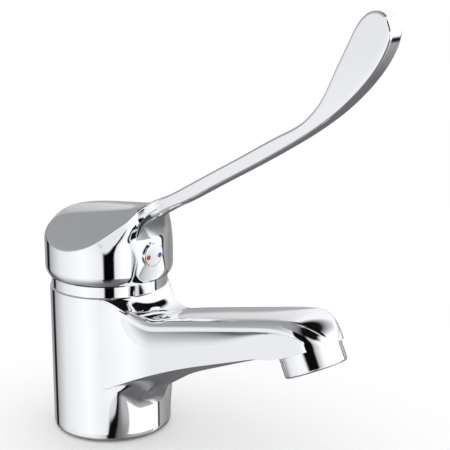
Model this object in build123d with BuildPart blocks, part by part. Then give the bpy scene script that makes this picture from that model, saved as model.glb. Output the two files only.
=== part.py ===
from build123d import *
import math
import os

# Elbow lever basin tap, in millimetres.
# The origin is the centre of the base on the deck. +X points along the spout and the lever,
# +Z is up, and the lever stands in the closed, middle position.

os.makedirs("parts", exist_ok=True)

# Barrel of the body
barrel_d = 50.6
barrel_top_z = 63.4
deck_gap = 0.4
base_round = 2.2
rim_break = 0.5
recess_d = 38.0
recess_roof_z = 12.0
seal_in_d = 40.0
seal_out_d = 44.8
seal_h = 1.8
seal_slack = 0.1

# Spout, seen from the side
spout_w = 26.0
flare_r = 30.0
flare_end_x = 58.0
shoulder_x = 36.0
shoulder_z = 58.0
brow_x = 101.0
brow_z = 71.6
outlet_x = 109.7
outlet_z = 59.8
outlet_tilt = 25.0
shoulder_fall_dir = (0.35, -1.0)
shoulder_run_dir = (1.0, 0.22)
nose_fall_dir = (0.75, -1.0)
edge_round = 3.2
spout_rise = 40.0

# Arched underside of the spout: for each section, its side edge and its lowest line
root_x = 8.0
root_edge_z = 20.5
root_low_z = -8.0
throat_x = 30.0
throat_edge_z = 30.6
throat_low_z = 18.0
bay_x = 42.0
bay_edge_z = 36.1
bay_low_z = 29.8
belly_x = 54.0
belly_edge_z = 41.0
belly_low_z = 36.6
run_x = 76.0
run_edge_z = 48.8
run_low_z = 45.8
neck_x = 98.0
neck_edge_z = 56.2
neck_low_z = 54.2
end_x = 124.0
end_edge_z = 62.0
end_low_z = 60.0

# Waterways
core_wall = 4.0
core_back_x = 36.0
core_back_low_z = 39.0
core_back_high_z = 52.0
core_front_x = 100.0
core_front_low_z = 60.5
core_front_high_z = 67.0
core_round = 2.0
gallery_d = 8.0
gallery_z = 27.0
gallery_bend_x = 26.0
gallery_end_x = 40.0
gallery_end_z = 44.0
port_outlet_x = -8.5
port_inlet_x = 5.0
port_inlet_y = 9.5
port_d = 7.0

# Hose inlets and stud hole in the underside
inlet_thread_d = 10.0
inlet_thread_depth = 10.0
stud_x = -11.5
stud_thread_d = 8.0
stud_thread_depth = 9.0

# Chamber for the cartridge
seat_z = 34.0
chamber_d = 40.2
nut_thread_d = 44.0
nut_bore_z = 56.4
peg_d = 3.0
peg_h = 2.6
peg_x = 3.0
peg_y = 16.4
peg_slack = 0.05

# Cartridge
housing_d = 40.0
housing_in_d = 35.0
housing_z = 36.0
shoulder_h = 3.0
housing_shoulder_z = 57.0
neck_d = 31.0
neck_bore_d = 25.0
neck_top_z = 67.4
base_spigot_d = 34.8
base_top_z = 38.0
seal_t = 1.2
port_seal_d = 11.0
port_seal_in_d = 8.0
port_seal_slack = 0.05
gasket_t = 1.0
gasket_d = 34.4
gasket_port_d = 6.6
fixed_disc_d = 33.0
fixed_disc_t = 4.0
disc_port_d = 6.0
disc_film = 0.05
moving_disc_lap = 0.5
moving_disc_t = 3.6
disc_rest_x = -2.3
mixing_len = 14.0
mixing_w = 22.0
mixing_depth = 1.8
mixing_x = -6.6
coupler_play = 1.7
coupler_t = 4.6
coupler_flat_cut = 2.5
rail_slack = 0.1
rail_t = 2.8
rail_len = 16.0
rail_drop = 3.4
flange_d = 34.4
flange_t = 2.5
flange_gap = 0.15
rotor_slack = 0.05
rotor_rise = 1.4

# Stem and its pivot
pivot_z = 61.0
pin_d = 4.0
pin_len = 21.0
pin_slack = 0.05
slot_foot_x = 7.4
slot_waist_x = 4.7
slot_head_x = 8.5
stem_x = 8.0
stem_y = 9.0
stem_slack = 0.05
stem_top_z = 92.0
stem_block_z = 56.0
stem_neck_d = 4.4
ball_z = 50.0
ball_d = 5.2
ball_slack = 0.15
slot_slack = 0.35
slot_heel_drop = 1.4

# Clamp nut and cover ring
nut_slack = 0.1
nut_in_d = 31.6
nut_h = 9.4
nut_flange_d = 40.6
nut_notch_w = 4.0
nut_notch_depth = 2.2
nut_notches = 4
ring_d = 49.2
ring_h = 4.8
ring_top_t = 1.6
ring_in_d = 32.0
ring_slack = 0.1
ring_break = 0.4

# Lever cap
cap_d = 54.0
cap_gap = 0.5
rim_in = 1.2
rim_round_h = 3.8
cap_wall = 2.2
cavity_h = 11.8
front_pad_t = 5.0
boss_back_x = -9.0
boss_w = 15.0
boss_drop = 5.5
boss_lap = 1.0
socket_slack = 0.05
socket_head = 0.3
crown_lap = 2.0
crown_back_z = 92.6
crown_front_in = 1.0
crown_front_z = 101.0
crown_run_dir = (1.0, 0.15)
crown_round = 10.0
facet_y = 12.5
facet_z = 96.6
facet_fall = 43.5
facet_nod = 3.0
facet_run = 6.0
flat_in = 0.5
flat_z = 80.2
flat_tilt = 7.0
flat_low = 14.0
flat_high = 6.5

# Arm and elbow paddle
arm_rise = 28.1
arm_t = 7.0
arm_start_run = 9.0
arm_start_z = 105.5
arm_depth = 6.2
arm_bend_x = 103.0
web_r = 18.0
web_run = 21.0
under_run = 17.0
under_front_run = 0.6
under_front_z = 89.0
under_dir = (-0.45, -1.0)
paddle_neck_x = 117.2
paddle_neck_z = 155.7
paddle_neck_dir = (1.0, 1.95)
paddle_under_x = 123.4
paddle_under_z = 149.5
paddle_under_dir = (-1.0, -0.92)
tip_x = 135.7
tip_z = 176.0
tip_r = 7.8
tip_near_angle = 153.0
tip_far_angle = -34.0
arm_edge_round = 1.0

# Button and set screw
plug_d = 10.4
plug_t = 3.3
plug_proud = 1.2
plug_slack = 0.05
plug_tail_d = 4.6
plug_tail_len = 3.0
plug_edge = 0.7
mark_d = 2.2
mark_t = 0.4
mark_y = 3.1
mark_drop = 0.5
screw_d = 5.0
screw_slack = 0.05
screw_len = 10.0
screw_hex = 2.5
screw_hex_depth = 3.0
screw_tip_d = 3.0
screw_tip_len = 0.8
screw_tip_lap = 0.25

# Aerator
nipple_wall = 2.5
nipple_len = 4.6
nipple_bore_depth = 9.0
shell_step = 1.0
shell_wall = 0.95
shell_len = 7.7
shell_gap = 0.15
shell_slack = 0.05
shell_lip_t = 0.9
shell_lip_w = 2.5
shell_groove_at = 1.7
shell_groove_w = 0.5
shell_groove_depth = 0.25
shell_edge = 0.8
washer_t = 0.9
washer_lap = 0.2
insert_slack = 0.2
insert_wall = 1.2
insert_depth = 7.4
grid_hole_d = 1.9
grid_pitch = 2.9
grid_t = 1.0
strainer_t = 0.8
strainer_hole_d = 1.2
strainer_pitch = 2.6

# Shares: a half, a quarter, a double, and half of the root of three
half = 0.5
quarter = 0.25
double = 2.0
root_three_half = 0.866

# Derived sizes
barrel_r = barrel_d * half
spout_end_r = spout_w * half
core_w = spout_w - core_wall * double
shell_d = spout_w - shell_step * double
shell_mouth_d = shell_d - shell_lip_w * double
nipple_d = shell_d - (shell_wall + shell_slack) * double
nipple_bore_d = nipple_d - nipple_wall * double
washer_in_d = nipple_bore_d + washer_lap * double
insert_d = nipple_d - insert_slack * double
insert_tube_d = nipple_bore_d - insert_slack * double
spout_top_z = brow_z + edge_round
tilt_c = math.cos(math.radians(outlet_tilt))
tilt_s = math.sin(math.radians(outlet_tilt))
ring_top_z = barrel_top_z + ring_h
rim_z = ring_top_z + cap_gap
cap_r = cap_d * half
rim_d = cap_d - rim_in * double
cavity_d = cap_d - cap_wall * double
front_pad_x = cap_r - front_pad_t
crown_back_x = -cap_r - crown_lap
crown_front_x = cap_r - crown_front_in
flat_x = cap_r - flat_in
arm_start_x = cap_r + arm_start_run
web_end_x = cap_r + web_run
under_x = cap_r + under_run
under_front_x = cap_r + under_front_run
crown_slope = (crown_front_z - crown_back_z) / (crown_front_x - crown_back_x)
crown_middle_z = crown_back_z - crown_back_x * crown_slope
crown_side_z = crown_middle_z - crown_back_x * crown_slope
cavity_roof_z = rim_z + cavity_h
housing_roof_z = housing_shoulder_z - shoulder_h
coupler_d = housing_in_d + (disc_rest_x - coupler_play) * double
coupler_flat_w = coupler_d - coupler_flat_cut * double
moving_disc_d = coupler_d - moving_disc_lap * double
fixed_disc_z = base_top_z + gasket_t
moving_disc_z = fixed_disc_z + fixed_disc_t + disc_film
coupler_z = moving_disc_z + moving_disc_t
coupler_top_z = coupler_z + coupler_t
flange_z = housing_roof_z - flange_gap - flange_t
rotor_d = neck_bore_d - rotor_slack - rotor_slack
rotor_top_z = neck_top_z + rotor_rise
insert_rim_t = shell_len - shell_lip_t - nipple_len - washer_t
arm_c = math.cos(math.radians(arm_rise))
arm_s = math.sin(math.radians(arm_rise))
arm_dir = (arm_c, arm_s)
arm_bend_z = arm_start_z + (arm_bend_x - arm_start_x) * arm_s / arm_c
under_z = arm_start_z + (under_x - arm_start_x) * arm_s / arm_c - arm_depth
tip_near_c = math.cos(math.radians(tip_near_angle))
tip_near_s = math.sin(math.radians(tip_near_angle))
tip_far_c = math.cos(math.radians(tip_far_angle))
tip_far_s = math.sin(math.radians(tip_far_angle))
nod_c = math.cos(math.radians(facet_nod))
nod_s = math.sin(math.radians(facet_nod))
facet_slope = math.tan(math.radians(facet_fall))
facet_start_z = facet_z + cap_r * nod_s / nod_c
flat_c = math.cos(math.radians(flat_tilt))
flat_s = math.sin(math.radians(flat_tilt))
screw_reach = (flat_x - stem_x * half) / flat_c
plug_front = Vertex(flat_x + plug_proud * flat_c, 0, flat_z - plug_proud * flat_s)
shell_front = Vertex(outlet_x + shell_len * tilt_s, 0, outlet_z - shell_len * tilt_c)
outlet_plane = Plane(origin=(outlet_x, 0, outlet_z), x_dir=(0, 1, 0), z_dir=(tilt_s, 0, -tilt_c))
flat_plane = Plane(origin=(flat_x, 0, flat_z), x_dir=(0, 1, 0), z_dir=(flat_c, 0, -flat_s))

# Spout shape, cut from a plan outline and a side outline
with BuildPart() as spout_form:
    with BuildSketch(Plane.XY) as flare_plan:
        Circle(barrel_r)
        with Locations((flare_end_x * half, 0)):
            Rectangle(flare_end_x, spout_w)
        flare_corners = flare_plan.vertices().filter_by_position(Axis.X, barrel_r * half, barrel_r)
        fillet(flare_corners, radius=flare_r)
    extrude(amount=barrel_top_z)
    with BuildSketch(Plane.XZ):
        with BuildLine():
            Polyline(
                (barrel_r, 0),
                (outlet_x, 0),
                (outlet_x, outlet_z),
                (outlet_x - spout_rise * tilt_s, outlet_z + spout_rise * tilt_c),
                (barrel_r, outlet_z + spout_rise * tilt_c),
                close=True,
            )
        make_face()
    extrude(amount=spout_end_r, both=True)
    with BuildSketch(outlet_plane):
        Circle(spout_end_r)
    extrude(amount=-spout_rise)
    with BuildSketch(Plane.XZ):
        with BuildLine():
            Spline(
                (barrel_r, barrel_top_z),
                (shoulder_x, shoulder_z),
                tangents=(shoulder_fall_dir, shoulder_run_dir),
            )
            Line((shoulder_x, shoulder_z), (brow_x, brow_z))
            Spline(
                (brow_x, brow_z),
                (outlet_x + spout_end_r * tilt_c, outlet_z + spout_end_r * tilt_s),
                tangents=(shoulder_run_dir, nose_fall_dir),
            )
            Line(
                (outlet_x + spout_end_r * tilt_c, outlet_z + spout_end_r * tilt_s),
                (outlet_x - spout_end_r * tilt_c, outlet_z - spout_end_r * tilt_s),
            )
            Polyline(
                (outlet_x - spout_end_r * tilt_c, outlet_z - spout_end_r * tilt_s),
                (barrel_r, 0),
                (0, 0),
                (0, barrel_top_z),
                (barrel_r, barrel_top_z),
            )
        make_face()
    extrude(amount=cap_d, both=True, mode=Mode.INTERSECT)
    upper_edges = [
        e
        for e in spout_form.edges()
        if abs(e.center().Y) > spout_w * quarter
        and e.center().Z > shoulder_z - edge_round
        and (e.geom_type == GeomType.BSPLINE or e.length > spout_w * double)
    ]
    fillet(upper_edges, radius=edge_round)
    for section_x, edge_z, low_z in (
        (root_x, root_edge_z, root_low_z),
        (throat_x, throat_edge_z, throat_low_z),
        (bay_x, bay_edge_z, bay_low_z),
        (belly_x, belly_edge_z, belly_low_z),
        (run_x, run_edge_z, run_low_z),
        (neck_x, neck_edge_z, neck_low_z),
        (end_x, end_edge_z, end_low_z),
    ):
        with BuildSketch(Plane.YZ.offset(section_x)):
            with BuildLine():
                Polyline(
                    (-spout_end_r, edge_z),
                    (-barrel_d, edge_z),
                    (-barrel_d, spout_top_z),
                    (barrel_d, spout_top_z),
                    (barrel_d, edge_z),
                    (spout_end_r, edge_z),
                )
                ThreePointArc((spout_end_r, edge_z), (0, low_z), (-spout_end_r, edge_z))
            make_face()
    loft(mode=Mode.INTERSECT)

# Body: barrel, spout, chamber, waterways and threaded sockets
with BuildPart() as body:
    with BuildSketch(Plane.XY.offset(deck_gap)):
        Circle(barrel_r)
    extrude(amount=barrel_top_z - deck_gap)
    fillet(body.edges().group_by(Axis.Z)[0], radius=base_round)
    chamfer(body.edges().group_by(Axis.Z)[-1], length=rim_break)
    add(spout_form.part)
    with BuildSketch(outlet_plane):
        Circle(nipple_d * half)
    extrude(amount=nipple_len)
    # Hollow underside and its seal groove
    with BuildSketch(Plane.XY):
        Circle(recess_d * half)
    extrude(amount=recess_roof_z, mode=Mode.SUBTRACT)
    with BuildSketch(Plane.XY):
        Circle(seal_out_d * half + seal_slack)
        Circle(seal_in_d * half - seal_slack, mode=Mode.SUBTRACT)
    extrude(amount=seal_h, mode=Mode.SUBTRACT)
    # Cartridge chamber and the bore for the clamp nut
    with BuildSketch(Plane.XY.offset(seat_z)):
        Circle(chamber_d * half)
    extrude(amount=barrel_d, mode=Mode.SUBTRACT)
    with BuildSketch(Plane.XY.offset(nut_bore_z)):
        Circle(nut_thread_d * half)
    extrude(amount=barrel_d, mode=Mode.SUBTRACT)
    with BuildSketch(Plane.XY.offset(seat_z - peg_h - peg_slack)):
        with Locations((peg_x, peg_y), (peg_x, -peg_y)):
            Circle(peg_d * half + peg_slack)
    extrude(amount=barrel_d * half, mode=Mode.SUBTRACT)
    # Hot and cold inlets
    with BuildSketch(Plane.XY.offset(recess_roof_z)):
        with Locations((port_inlet_x, port_inlet_y), (port_inlet_x, -port_inlet_y)):
            Circle(inlet_thread_d * half)
    extrude(amount=inlet_thread_depth, mode=Mode.SUBTRACT)
    with BuildSketch(Plane.XY.offset(recess_roof_z)):
        with Locations((port_inlet_x, port_inlet_y), (port_inlet_x, -port_inlet_y)):
            Circle(port_d * half)
    extrude(amount=seat_z - recess_roof_z, mode=Mode.SUBTRACT)
    # Blind hole for the fixing stud
    with BuildSketch(Plane.XY.offset(recess_roof_z)):
        with Locations((stud_x, 0)):
            Circle(stud_thread_d * half)
    extrude(amount=stud_thread_depth, mode=Mode.SUBTRACT)
    # Outlet gallery from the seat to the spout
    with BuildSketch(Plane.XY.offset(gallery_z)):
        with Locations((port_outlet_x, 0)):
            Circle(gallery_d * half)
    extrude(amount=seat_z - gallery_z, mode=Mode.SUBTRACT)
    with BuildLine() as gallery_path:
        FilletPolyline(
            (port_outlet_x, 0, gallery_z),
            (gallery_bend_x, 0, gallery_z),
            (gallery_end_x, 0, gallery_end_z),
            radius=gallery_d,
        )
    with BuildSketch(Plane(origin=(port_outlet_x, 0, gallery_z), z_dir=(1, 0, 0))):
        Circle(gallery_d * half)
    sweep(path=gallery_path.line, mode=Mode.SUBTRACT)
    with Locations((port_outlet_x, 0, gallery_z)):
        Sphere(gallery_d * half, mode=Mode.SUBTRACT)
    with BuildSketch(Plane.XZ):
        with BuildLine():
            Polyline(
                (core_back_x, core_back_low_z),
                (core_front_x, core_front_low_z),
                (core_front_x, core_front_high_z),
                (core_back_x, core_back_high_z),
                close=True,
            )
        core_face = make_face()
        fillet(core_face.vertices(), radius=core_round)
    extrude(amount=core_w * half, both=True, mode=Mode.SUBTRACT)
    with BuildSketch(outlet_plane.offset(nipple_len)):
        Circle(nipple_bore_d * half)
    extrude(amount=-nipple_len - nipple_bore_depth, mode=Mode.SUBTRACT)
body.part.label = "body"

# Soft ring that seals the base on the deck
with BuildPart() as base_seal:
    with BuildSketch(Plane.XY):
        Circle(seal_out_d * half)
        Circle(seal_in_d * half, mode=Mode.SUBTRACT)
    extrude(amount=seal_h)
base_seal.part.label = "base_seal"

# Housing of the cartridge
with BuildPart() as cartridge_housing:
    with BuildSketch(Plane.XY.offset(housing_z)):
        Circle(housing_d * half)
    extrude(amount=housing_shoulder_z - housing_z)
    with BuildSketch(Plane.XY.offset(housing_shoulder_z)):
        Circle(neck_d * half)
    extrude(amount=neck_top_z - housing_shoulder_z)
    with BuildSketch(Plane.XY.offset(housing_z)):
        Circle(housing_in_d * half)
    extrude(amount=housing_roof_z - housing_z, mode=Mode.SUBTRACT)
    with BuildSketch(Plane.XY.offset(housing_z)):
        Circle(neck_bore_d * half)
    extrude(amount=neck_top_z - housing_z, mode=Mode.SUBTRACT)
cartridge_housing.part.label = "cartridge_housing"

# Ported floor of the cartridge with two pegs that fit the body
with BuildPart() as cartridge_base:
    with BuildSketch(Plane.XY.offset(seat_z)):
        Circle(housing_d * half)
    extrude(amount=housing_z - seat_z)
    with BuildSketch(Plane.XY.offset(housing_z)):
        Circle(base_spigot_d * half)
    extrude(amount=base_top_z - housing_z)
    with BuildSketch(Plane.XY.offset(seat_z - peg_h)):
        with Locations((peg_x, peg_y), (peg_x, -peg_y)):
            Circle(peg_d * half)
    extrude(amount=peg_h)
    with BuildSketch(Plane.XY.offset(seat_z)):
        with Locations((port_inlet_x, port_inlet_y), (port_inlet_x, -port_inlet_y), (port_outlet_x, 0)):
            Circle(gasket_port_d * half)
    extrude(amount=base_top_z - seat_z, mode=Mode.SUBTRACT)
    with BuildSketch(Plane.XY.offset(seat_z)):
        with Locations((port_inlet_x, port_inlet_y), (port_inlet_x, -port_inlet_y), (port_outlet_x, 0)):
            Circle(port_seal_d * half + port_seal_slack)
    extrude(amount=seal_t, mode=Mode.SUBTRACT)
cartridge_base.part.label = "cartridge_base"

# Rings that seal the three ports on the seat
with BuildPart() as hot_port_seal:
    with BuildSketch(Plane.XY.offset(seat_z)):
        with Locations((port_inlet_x, -port_inlet_y)):
            Circle(port_seal_d * half)
            Circle(port_seal_in_d * half, mode=Mode.SUBTRACT)
    extrude(amount=seal_t)
hot_port_seal.part.label = "hot_port_seal"

with BuildPart() as cold_port_seal:
    with BuildSketch(Plane.XY.offset(seat_z)):
        with Locations((port_inlet_x, port_inlet_y)):
            Circle(port_seal_d * half)
            Circle(port_seal_in_d * half, mode=Mode.SUBTRACT)
    extrude(amount=seal_t)
cold_port_seal.part.label = "cold_port_seal"

with BuildPart() as outlet_port_seal:
    with BuildSketch(Plane.XY.offset(seat_z)):
        with Locations((port_outlet_x, 0)):
            Circle(port_seal_d * half)
            Circle(port_seal_in_d * half, mode=Mode.SUBTRACT)
    extrude(amount=seal_t)
outlet_port_seal.part.label = "outlet_port_seal"

# Moulded gasket under the fixed disc
with BuildPart() as disc_gasket:
    with BuildSketch(Plane.XY.offset(base_top_z)):
        Circle(gasket_d * half)
        with Locations((port_inlet_x, port_inlet_y), (port_inlet_x, -port_inlet_y), (port_outlet_x, 0)):
            Circle(gasket_port_d * half, mode=Mode.SUBTRACT)
    extrude(amount=gasket_t)
disc_gasket.part.label = "disc_gasket"

# Lower ceramic disc with the three ports
with BuildPart() as fixed_disc:
    with BuildSketch(Plane.XY.offset(fixed_disc_z)):
        Circle(fixed_disc_d * half)
        with Locations((port_inlet_x, port_inlet_y), (port_inlet_x, -port_inlet_y), (port_outlet_x, 0)):
            Circle(disc_port_d * half, mode=Mode.SUBTRACT)
    extrude(amount=fixed_disc_t)
fixed_disc.part.label = "fixed_disc"

# Upper ceramic disc with the mixing pocket in its underside
with BuildPart() as moving_disc:
    with BuildSketch(Plane.XY.offset(moving_disc_z)):
        with Locations((disc_rest_x, 0)):
            Circle(moving_disc_d * half)
    extrude(amount=moving_disc_t)
    with BuildSketch(Plane.XY.offset(moving_disc_z)):
        with Locations((mixing_x, 0)):
            Ellipse(mixing_len * half, mixing_w * half)
    extrude(amount=mixing_depth, mode=Mode.SUBTRACT)
moving_disc.part.label = "moving_disc"

# Carrier that slides the upper disc
with BuildPart() as disc_coupler:
    with BuildSketch(Plane.XY.offset(coupler_z)):
        with Locations((disc_rest_x, 0)):
            Circle(coupler_d * half)
            Rectangle(coupler_d, coupler_flat_w, mode=Mode.INTERSECT)
    extrude(amount=coupler_t)
    with BuildSketch(Plane.XY.offset(coupler_top_z)):
        Rectangle(ball_d + ball_slack + ball_slack, ball_d + ball_slack + ball_slack)
    extrude(amount=ball_z - ball_d * half - ball_slack - coupler_top_z, mode=Mode.SUBTRACT)
disc_coupler.part.label = "disc_coupler"

# Turning head: flange, guide rails, bearing neck and the slot for the stem
with BuildPart() as cartridge_rotor:
    with BuildSketch(Plane.XY.offset(flange_z)):
        Circle(flange_d * half)
    extrude(amount=flange_t)
    with BuildSketch(Plane.XY.offset(flange_z)):
        Circle(rotor_d * half)
    extrude(amount=rotor_top_z - flange_z)
    with BuildSketch(Plane.XY.offset(flange_z)):
        with Locations(
            (0, coupler_flat_w * half + rail_slack + rail_t * half),
            (0, -coupler_flat_w * half - rail_slack - rail_t * half),
        ):
            Rectangle(rail_len, rail_t)
    extrude(amount=-rail_drop)
    with BuildSketch(Plane.XZ):
        with BuildLine():
            Polyline(
                (-stem_neck_d * half - slot_slack, flange_z),
                (slot_foot_x, flange_z),
                (slot_foot_x, stem_block_z),
                (slot_waist_x, pivot_z + slot_slack),
                (slot_waist_x, rotor_top_z),
                (-slot_head_x, rotor_top_z),
                (-slot_waist_x, pivot_z - slot_slack),
                (-slot_waist_x, stem_block_z - slot_heel_drop),
                (-stem_neck_d * half - slot_slack, stem_block_z - slot_heel_drop),
                close=True,
            )
        make_face()
    extrude(amount=stem_y * half + stem_slack, both=True, mode=Mode.SUBTRACT)
    with BuildSketch(Plane.XZ):
        with Locations((0, pivot_z)):
            Circle(pin_d * half)
    extrude(amount=rotor_d, both=True, mode=Mode.SUBTRACT)
cartridge_rotor.part.label = "cartridge_rotor"

# Pivot pin, held in the turning head
with BuildPart() as stem_pin:
    with BuildSketch(Plane.XZ):
        with Locations((0, pivot_z)):
            Circle(pin_d * half)
    extrude(amount=pin_len * half, both=True)
stem_pin.part.label = "stem_pin"

# Stem: square block through the head, neck and ball that moves the carrier
with BuildPart() as stem:
    with BuildSketch(Plane.XY.offset(stem_block_z)):
        Rectangle(stem_x, stem_y)
    extrude(amount=stem_top_z - stem_block_z)
    with BuildSketch(Plane.XY.offset(ball_z)):
        Circle(stem_neck_d * half)
    extrude(amount=stem_block_z - ball_z)
    with Locations((0, 0, ball_z)):
        Sphere(ball_d * half)
    with BuildSketch(Plane.XZ):
        with Locations((0, pivot_z)):
            Circle(pin_d * half + pin_slack)
    extrude(amount=stem_y, both=True, mode=Mode.SUBTRACT)
stem.part.label = "stem"

# Nut that clamps the cartridge in the body
with BuildPart() as clamp_nut:
    with BuildSketch(Plane.XY.offset(housing_shoulder_z)):
        Circle(nut_thread_d * half - nut_slack)
    extrude(amount=barrel_top_z - housing_shoulder_z)
    with BuildSketch(Plane.XY.offset(barrel_top_z)):
        Circle(nut_flange_d * half)
    extrude(amount=nut_h + housing_shoulder_z - barrel_top_z)
    with BuildSketch(Plane.XY.offset(housing_shoulder_z)):
        Circle(nut_in_d * half)
    extrude(amount=nut_h, mode=Mode.SUBTRACT)
    with BuildSketch(Plane.XY.offset(housing_shoulder_z + nut_h - nut_notch_depth)):
        with PolarLocations(0, nut_notches):
            Rectangle(nut_flange_d, nut_notch_w)
    extrude(amount=nut_notch_depth, mode=Mode.SUBTRACT)
clamp_nut.part.label = "clamp_nut"

# Bright ring over the nut
with BuildPart() as cover_ring:
    with BuildSketch(Plane.XY.offset(barrel_top_z)):
        Circle(ring_d * half)
    extrude(amount=ring_h)
    chamfer(cover_ring.edges().group_by(Axis.Z)[-1], length=ring_break)
    with BuildSketch(Plane.XY.offset(barrel_top_z)):
        Circle(nut_flange_d * half + ring_slack)
    extrude(amount=ring_h - ring_top_t, mode=Mode.SUBTRACT)
    with BuildSketch(Plane.XY.offset(barrel_top_z)):
        Circle(ring_in_d * half)
    extrude(amount=ring_h, mode=Mode.SUBTRACT)
cover_ring.part.label = "cover_ring"

# Back of the lever cap, with a full round along the edge of its top
with BuildPart() as cap_back:
    with BuildSketch(Plane.XY.offset(rim_z + rim_round_h)):
        Circle(cap_r)
    extrude(amount=crown_front_z)
    with BuildSketch(Plane.XZ):
        with BuildLine():
            Polyline(
                (crown_back_x, barrel_top_z),
                (crown_back_x, crown_back_z),
                (-crown_back_x, crown_side_z),
                (-crown_back_x, barrel_top_z),
                close=True,
            )
        make_face()
    extrude(amount=cap_d, both=True, mode=Mode.INTERSECT)
    fillet(cap_back.faces().sort_by(Axis.Z)[-1].outer_wire().edges(), radius=crown_round)
    split(bisect_by=Plane.YZ, keep=Keep.BOTTOM)

# Lever: round cap with two facets, thin rising arm and oval elbow paddle
with BuildPart() as lever:
    with BuildSketch(Plane.XY.offset(rim_z + rim_round_h)) as lever_plan:
        Circle(cap_r)
        with Locations((tip_x * half, 0)):
            Rectangle(tip_x + tip_r + tip_r, arm_t)
        web_corners = lever_plan.vertices().filter_by_position(Axis.X, cap_r * half, cap_r)
        fillet(web_corners, radius=web_r)
    extrude(amount=tip_z)
    with BuildSketch(Plane.XZ):
        with BuildLine():
            Line((0, crown_middle_z), (crown_front_x, crown_front_z))
            Spline((crown_front_x, crown_front_z), (arm_start_x, arm_start_z), tangents=(crown_run_dir, arm_dir))
            Line((arm_start_x, arm_start_z), (arm_bend_x, arm_bend_z))
            Spline(
                (arm_bend_x, arm_bend_z),
                (paddle_neck_x, paddle_neck_z),
                (tip_x + tip_r * tip_near_c, tip_z + tip_r * tip_near_s),
                tangents=(arm_dir, (tip_near_s, -tip_near_c)),
            )
            ThreePointArc(
                (tip_x + tip_r * tip_near_c, tip_z + tip_r * tip_near_s),
                (tip_x + tip_r * half, tip_z + tip_r * root_three_half),
                (tip_x + tip_r * tip_far_c, tip_z + tip_r * tip_far_s),
            )
            Spline(
                (tip_x + tip_r * tip_far_c, tip_z + tip_r * tip_far_s),
                (paddle_under_x, paddle_under_z),
                (arm_bend_x, arm_bend_z - arm_depth),
                tangents=((tip_far_s, -tip_far_c), (-arm_c, -arm_s)),
            )
            Line((arm_bend_x, arm_bend_z - arm_depth), (under_x, under_z))
            Spline(
                (under_x, under_z),
                (under_front_x, under_front_z),
                tangents=((-arm_c, -arm_s), under_dir),
            )
            Polyline((under_front_x, under_front_z), (under_front_x, barrel_top_z), (0, barrel_top_z))
            Line((0, barrel_top_z), (0, crown_middle_z))
        make_face()
    extrude(amount=cap_d, both=True, mode=Mode.INTERSECT)
    arm_edges = [
        e
        for e in lever.edges()
        if e.center().X > web_end_x and e.length > arm_t + tip_r and abs(e.center().Y) > arm_t * quarter
    ]
    fillet(arm_edges, radius=arm_edge_round)
    add(cap_back.part)
    with BuildSketch(Plane.XZ):
        with BuildLine():
            Polyline((cap_r, rim_z + rim_round_h), (0, rim_z + rim_round_h), (0, rim_z), (rim_d * half, rim_z))
            TangentArc((cap_r, rim_z + rim_round_h), (rim_d * half, rim_z), tangent=(0, -1))
        make_face()
    revolve(axis=Axis.Z)
    with BuildSketch(Plane.YZ.offset(-cap_r)):
        for side in (1, -1):
            with BuildLine():
                Polyline(
                    (side * arm_t * half, facet_start_z + (facet_y - arm_t * half) * facet_slope),
                    (side * cap_d, facet_start_z - (cap_d - facet_y) * facet_slope),
                    (side * cap_d, tip_z),
                    (side * arm_t * half, tip_z),
                    close=True,
                )
            make_face()
    extrude(amount=cap_d + facet_run, dir=(nod_c, 0, -nod_s), mode=Mode.SUBTRACT)
    # Flat for the button
    with BuildSketch(flat_plane):
        with Locations((0, (flat_high - flat_low) * half)):
            Rectangle(cap_d, flat_high + flat_low)
    extrude(amount=cap_r, mode=Mode.SUBTRACT)
    # Hollow underside, with a pad behind the button and a boss for the stem
    with BuildSketch(Plane.XY.offset(rim_z)):
        Circle(cavity_d * half)
        with Locations((front_pad_x + cap_r * half, 0)):
            Rectangle(cap_r, cap_d, mode=Mode.SUBTRACT)
    extrude(amount=cavity_h, mode=Mode.SUBTRACT)
    with BuildSketch(Plane.XY.offset(cavity_roof_z)):
        with Locations(((boss_back_x + front_pad_x + boss_lap) * half, 0)):
            Rectangle(front_pad_x + boss_lap - boss_back_x, boss_w)
    extrude(amount=-boss_drop)
    with BuildSketch(Plane.XY.offset(rim_z)):
        Rectangle(stem_x + socket_slack + socket_slack, stem_y + socket_slack + socket_slack)
    extrude(amount=stem_top_z + socket_head - rim_z, mode=Mode.SUBTRACT)
    with BuildSketch(flat_plane):
        Circle(plug_d * half + plug_slack)
    extrude(amount=-plug_t + plug_proud, mode=Mode.SUBTRACT)
    with BuildSketch(flat_plane):
        Circle(screw_d * half + screw_slack)
    extrude(amount=-screw_reach - socket_slack, mode=Mode.SUBTRACT)
lever.part.label = "lever"

# Set screw that holds the lever on the stem
with BuildPart() as grub_screw:
    with BuildSketch(flat_plane.offset(-screw_reach + screw_tip_lap)):
        Circle(screw_tip_d * half)
    extrude(amount=screw_tip_len)
    with BuildSketch(flat_plane.offset(-screw_reach + screw_tip_lap + screw_tip_len)):
        Circle(screw_d * half)
    extrude(amount=screw_len - screw_tip_len)
    with BuildSketch(flat_plane.offset(-screw_reach + screw_tip_lap + screw_len)):
        RegularPolygon(screw_hex * half, 6, major_radius=False)
    extrude(amount=-screw_hex_depth, mode=Mode.SUBTRACT)
grub_screw.part.label = "grub_screw"

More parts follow.
